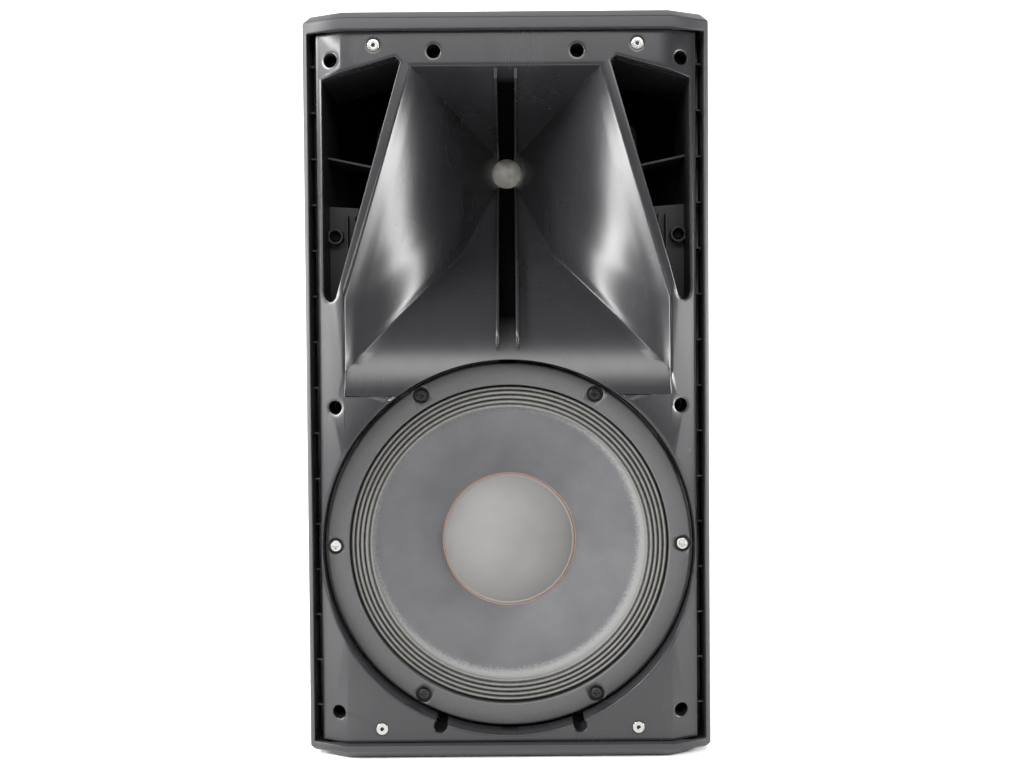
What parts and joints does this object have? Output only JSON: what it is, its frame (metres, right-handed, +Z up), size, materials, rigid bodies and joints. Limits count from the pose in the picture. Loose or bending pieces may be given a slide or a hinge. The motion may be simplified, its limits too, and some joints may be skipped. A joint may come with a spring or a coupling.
{
  "type": "loudspeaker cabinet",
  "caption": "Moulded two-way loudspeaker cabinet without its grille: horn with tall side ports above a pleated-edge woofer, amplifier panel at the rear.",
  "frame": {"origin": "on the floor, under the middle of the cabinet's bounding box", "axes": "+X across the front, -Y out of the front, +Z up"},
  "size_m": [0.343, 0.332, 0.629],
  "materials": {
    "baffle_plastic": "smooth satin moulding",
    "black_screw": "black oxide",
    "button_plastic": "satin",
    "cap_paper": "smooth, coated",
    "capacitor_sleeve": "sleeved",
    "case_plastic": "fine textured, satin",
    "circuit_board": "solder mask",
    "cone_paper": "pressed weave, coated",
    "connector_plastic": "satin",
    "copper": "enamelled wire",
    "driver_cast": "cast",
    "driver_cover_plastic": "satin",
    "duct_plastic": "matte",
    "ferrite": "ground",
    "foam": "closed-cell foam",
    "former_film": "film",
    "frame_steel": "powder coated",
    "gasket_fibre": "grained",
    "heatsink_aluminium": "black anodised",
    "knob_plastic": "satin",
    "lead_jacket": "jacket",
    "lens": "clear, tinted",
    "motor_steel": "machined, plated",
    "panel_aluminium": "powder coated",
    "plated_brass": "nickel plated",
    "rubber": "matte",
    "screen_mesh": "woven wire",
    "spider_cloth": "resin treated",
    "surround_cloth": "doped, semi-gloss",
    "titanium": "thin foil",
    "wadding": "loose fibre",
    "zinc_steel": "zinc plated"
  },
  "bodies": {
    "cabinet": {"acoustic_wadding": "wadding", "amp_board": "circuit_board", "amp_capacitors": "capacitor_sleeve", "amp_panel": "panel_aluminium", "amp_panel_gasket": "foam", "baffle_gasket": "foam", "baffle_screws": "black_screw", "board_standoffs": "zinc_steel", "cabinet_shell": "case_plastic", "case_screws": "black_screw", "control_bodies": "connector_plastic", "driver_bolts": "zinc_steel", "driver_cover": "driver_cover_plastic", "driver_diaphragm": "titanium", "driver_front_plate": "driver_cast", "driver_lead": "lead_jacket", "driver_magnet": "ferrite", "driver_phase_plug": "driver_cast", "driver_rear_plate": "motor_steel", "driver_throat_screen": "screen_mesh", "front_baffle": "baffle_plastic", "grille_inserts": "plated_brass", "heatsink": "heatsink_aluminium", "indicator_lens": "lens", "input_board": "circuit_board", "input_jack_1": "connector_plastic", "input_jack_2": "connector_plastic", "link_connector": "connector_plastic", "mains_inlet": "connector_plastic", "mains_lead": "lead_jacket", "pole_socket": "connector_plastic", "port_ducts": "duct_plastic", "power_switch": "connector_plastic", "power_transformer": "ferrite", "rigging_inserts": "zinc_steel", "rubber_feet": "rubber", "top_handle": "rubber", "woofer_frame": "frame_steel", "woofer_front_gasket": "gasket_fibre", "woofer_lead": "lead_jacket", "woofer_magnet": "ferrite", "woofer_pole_piece": "motor_steel", "woofer_screws": "zinc_steel", "woofer_seat_gasket": "foam", "woofer_spider": "spider_cloth", "woofer_surround": "surround_cloth", "woofer_terminals": "plated_brass", "woofer_tinsel_leads": "copper", "woofer_top_plate": "motor_steel"},
    "woofer_moving": {"woofer_cone": "cone_paper", "woofer_dust_cap": "cap_paper", "woofer_coil_former": "former_film", "woofer_voice_coil": "copper"},
    "driver_moving": {"driver_voice_coil": "copper"},
    "gain_1": {"gain_knob_1": "knob_plastic"},
    "gain_2": {"gain_knob_2": "knob_plastic"},
    "contour": {"contour_button": "button_plastic"},
    "rocker": {"power_rocker": "knob_plastic"},
    "latch_1": {"jack_latch_1": "button_plastic"},
    "latch_2": {"jack_latch_2": "button_plastic"}
  },
  "joints": [
    {"name": "cone_travel", "type": "slide", "parent": "cabinet", "child": "woofer_moving", "axis": [0, -1, 0], "range_m": [-0.007, 0.007], "stiffness_N_per_m": 6500, "deforming": ["woofer_surround", "woofer_spider", "woofer_tinsel_leads"]},
    {"name": "diaphragm_travel", "type": "slide", "parent": "cabinet", "child": "driver_moving", "axis": [0, -1, 0], "range_m": [-0.0003, 0.0003], "stiffness_N_per_m": 20000, "deforming": ["driver_diaphragm"]},
    {"name": "gain_1_turn", "type": "hinge", "parent": "cabinet", "child": "gain_1", "pos_m": [0.045, 0.148, 0.358], "axis": [0, 1, 0], "range_deg": [-150, 150]},
    {"name": "gain_2_turn", "type": "hinge", "parent": "cabinet", "child": "gain_2", "pos_m": [-0.045, 0.148, 0.358], "axis": [0, 1, 0], "range_deg": [-150, 150]},
    {"name": "contour_press", "type": "slide", "parent": "cabinet", "child": "contour", "axis": [0, -1, 0], "range_m": [0, 0.0025], "stiffness_N_per_m": 800},
    {"name": "power_rock", "type": "hinge", "parent": "cabinet", "child": "rocker", "pos_m": [-0.04, 0.146, 0.183], "axis": [-1, 0, 0], "range_deg": [0, 16]},
    {"name": "latch_1_press", "type": "slide", "parent": "cabinet", "child": "latch_1", "axis": [0, -1, 0], "range_m": [0, 0.002], "stiffness_N_per_m": 900},
    {"name": "latch_2_press", "type": "slide", "parent": "cabinet", "child": "latch_2", "axis": [0, -1, 0], "range_m": [0, 0.002], "stiffness_N_per_m": 900}
  ]
}
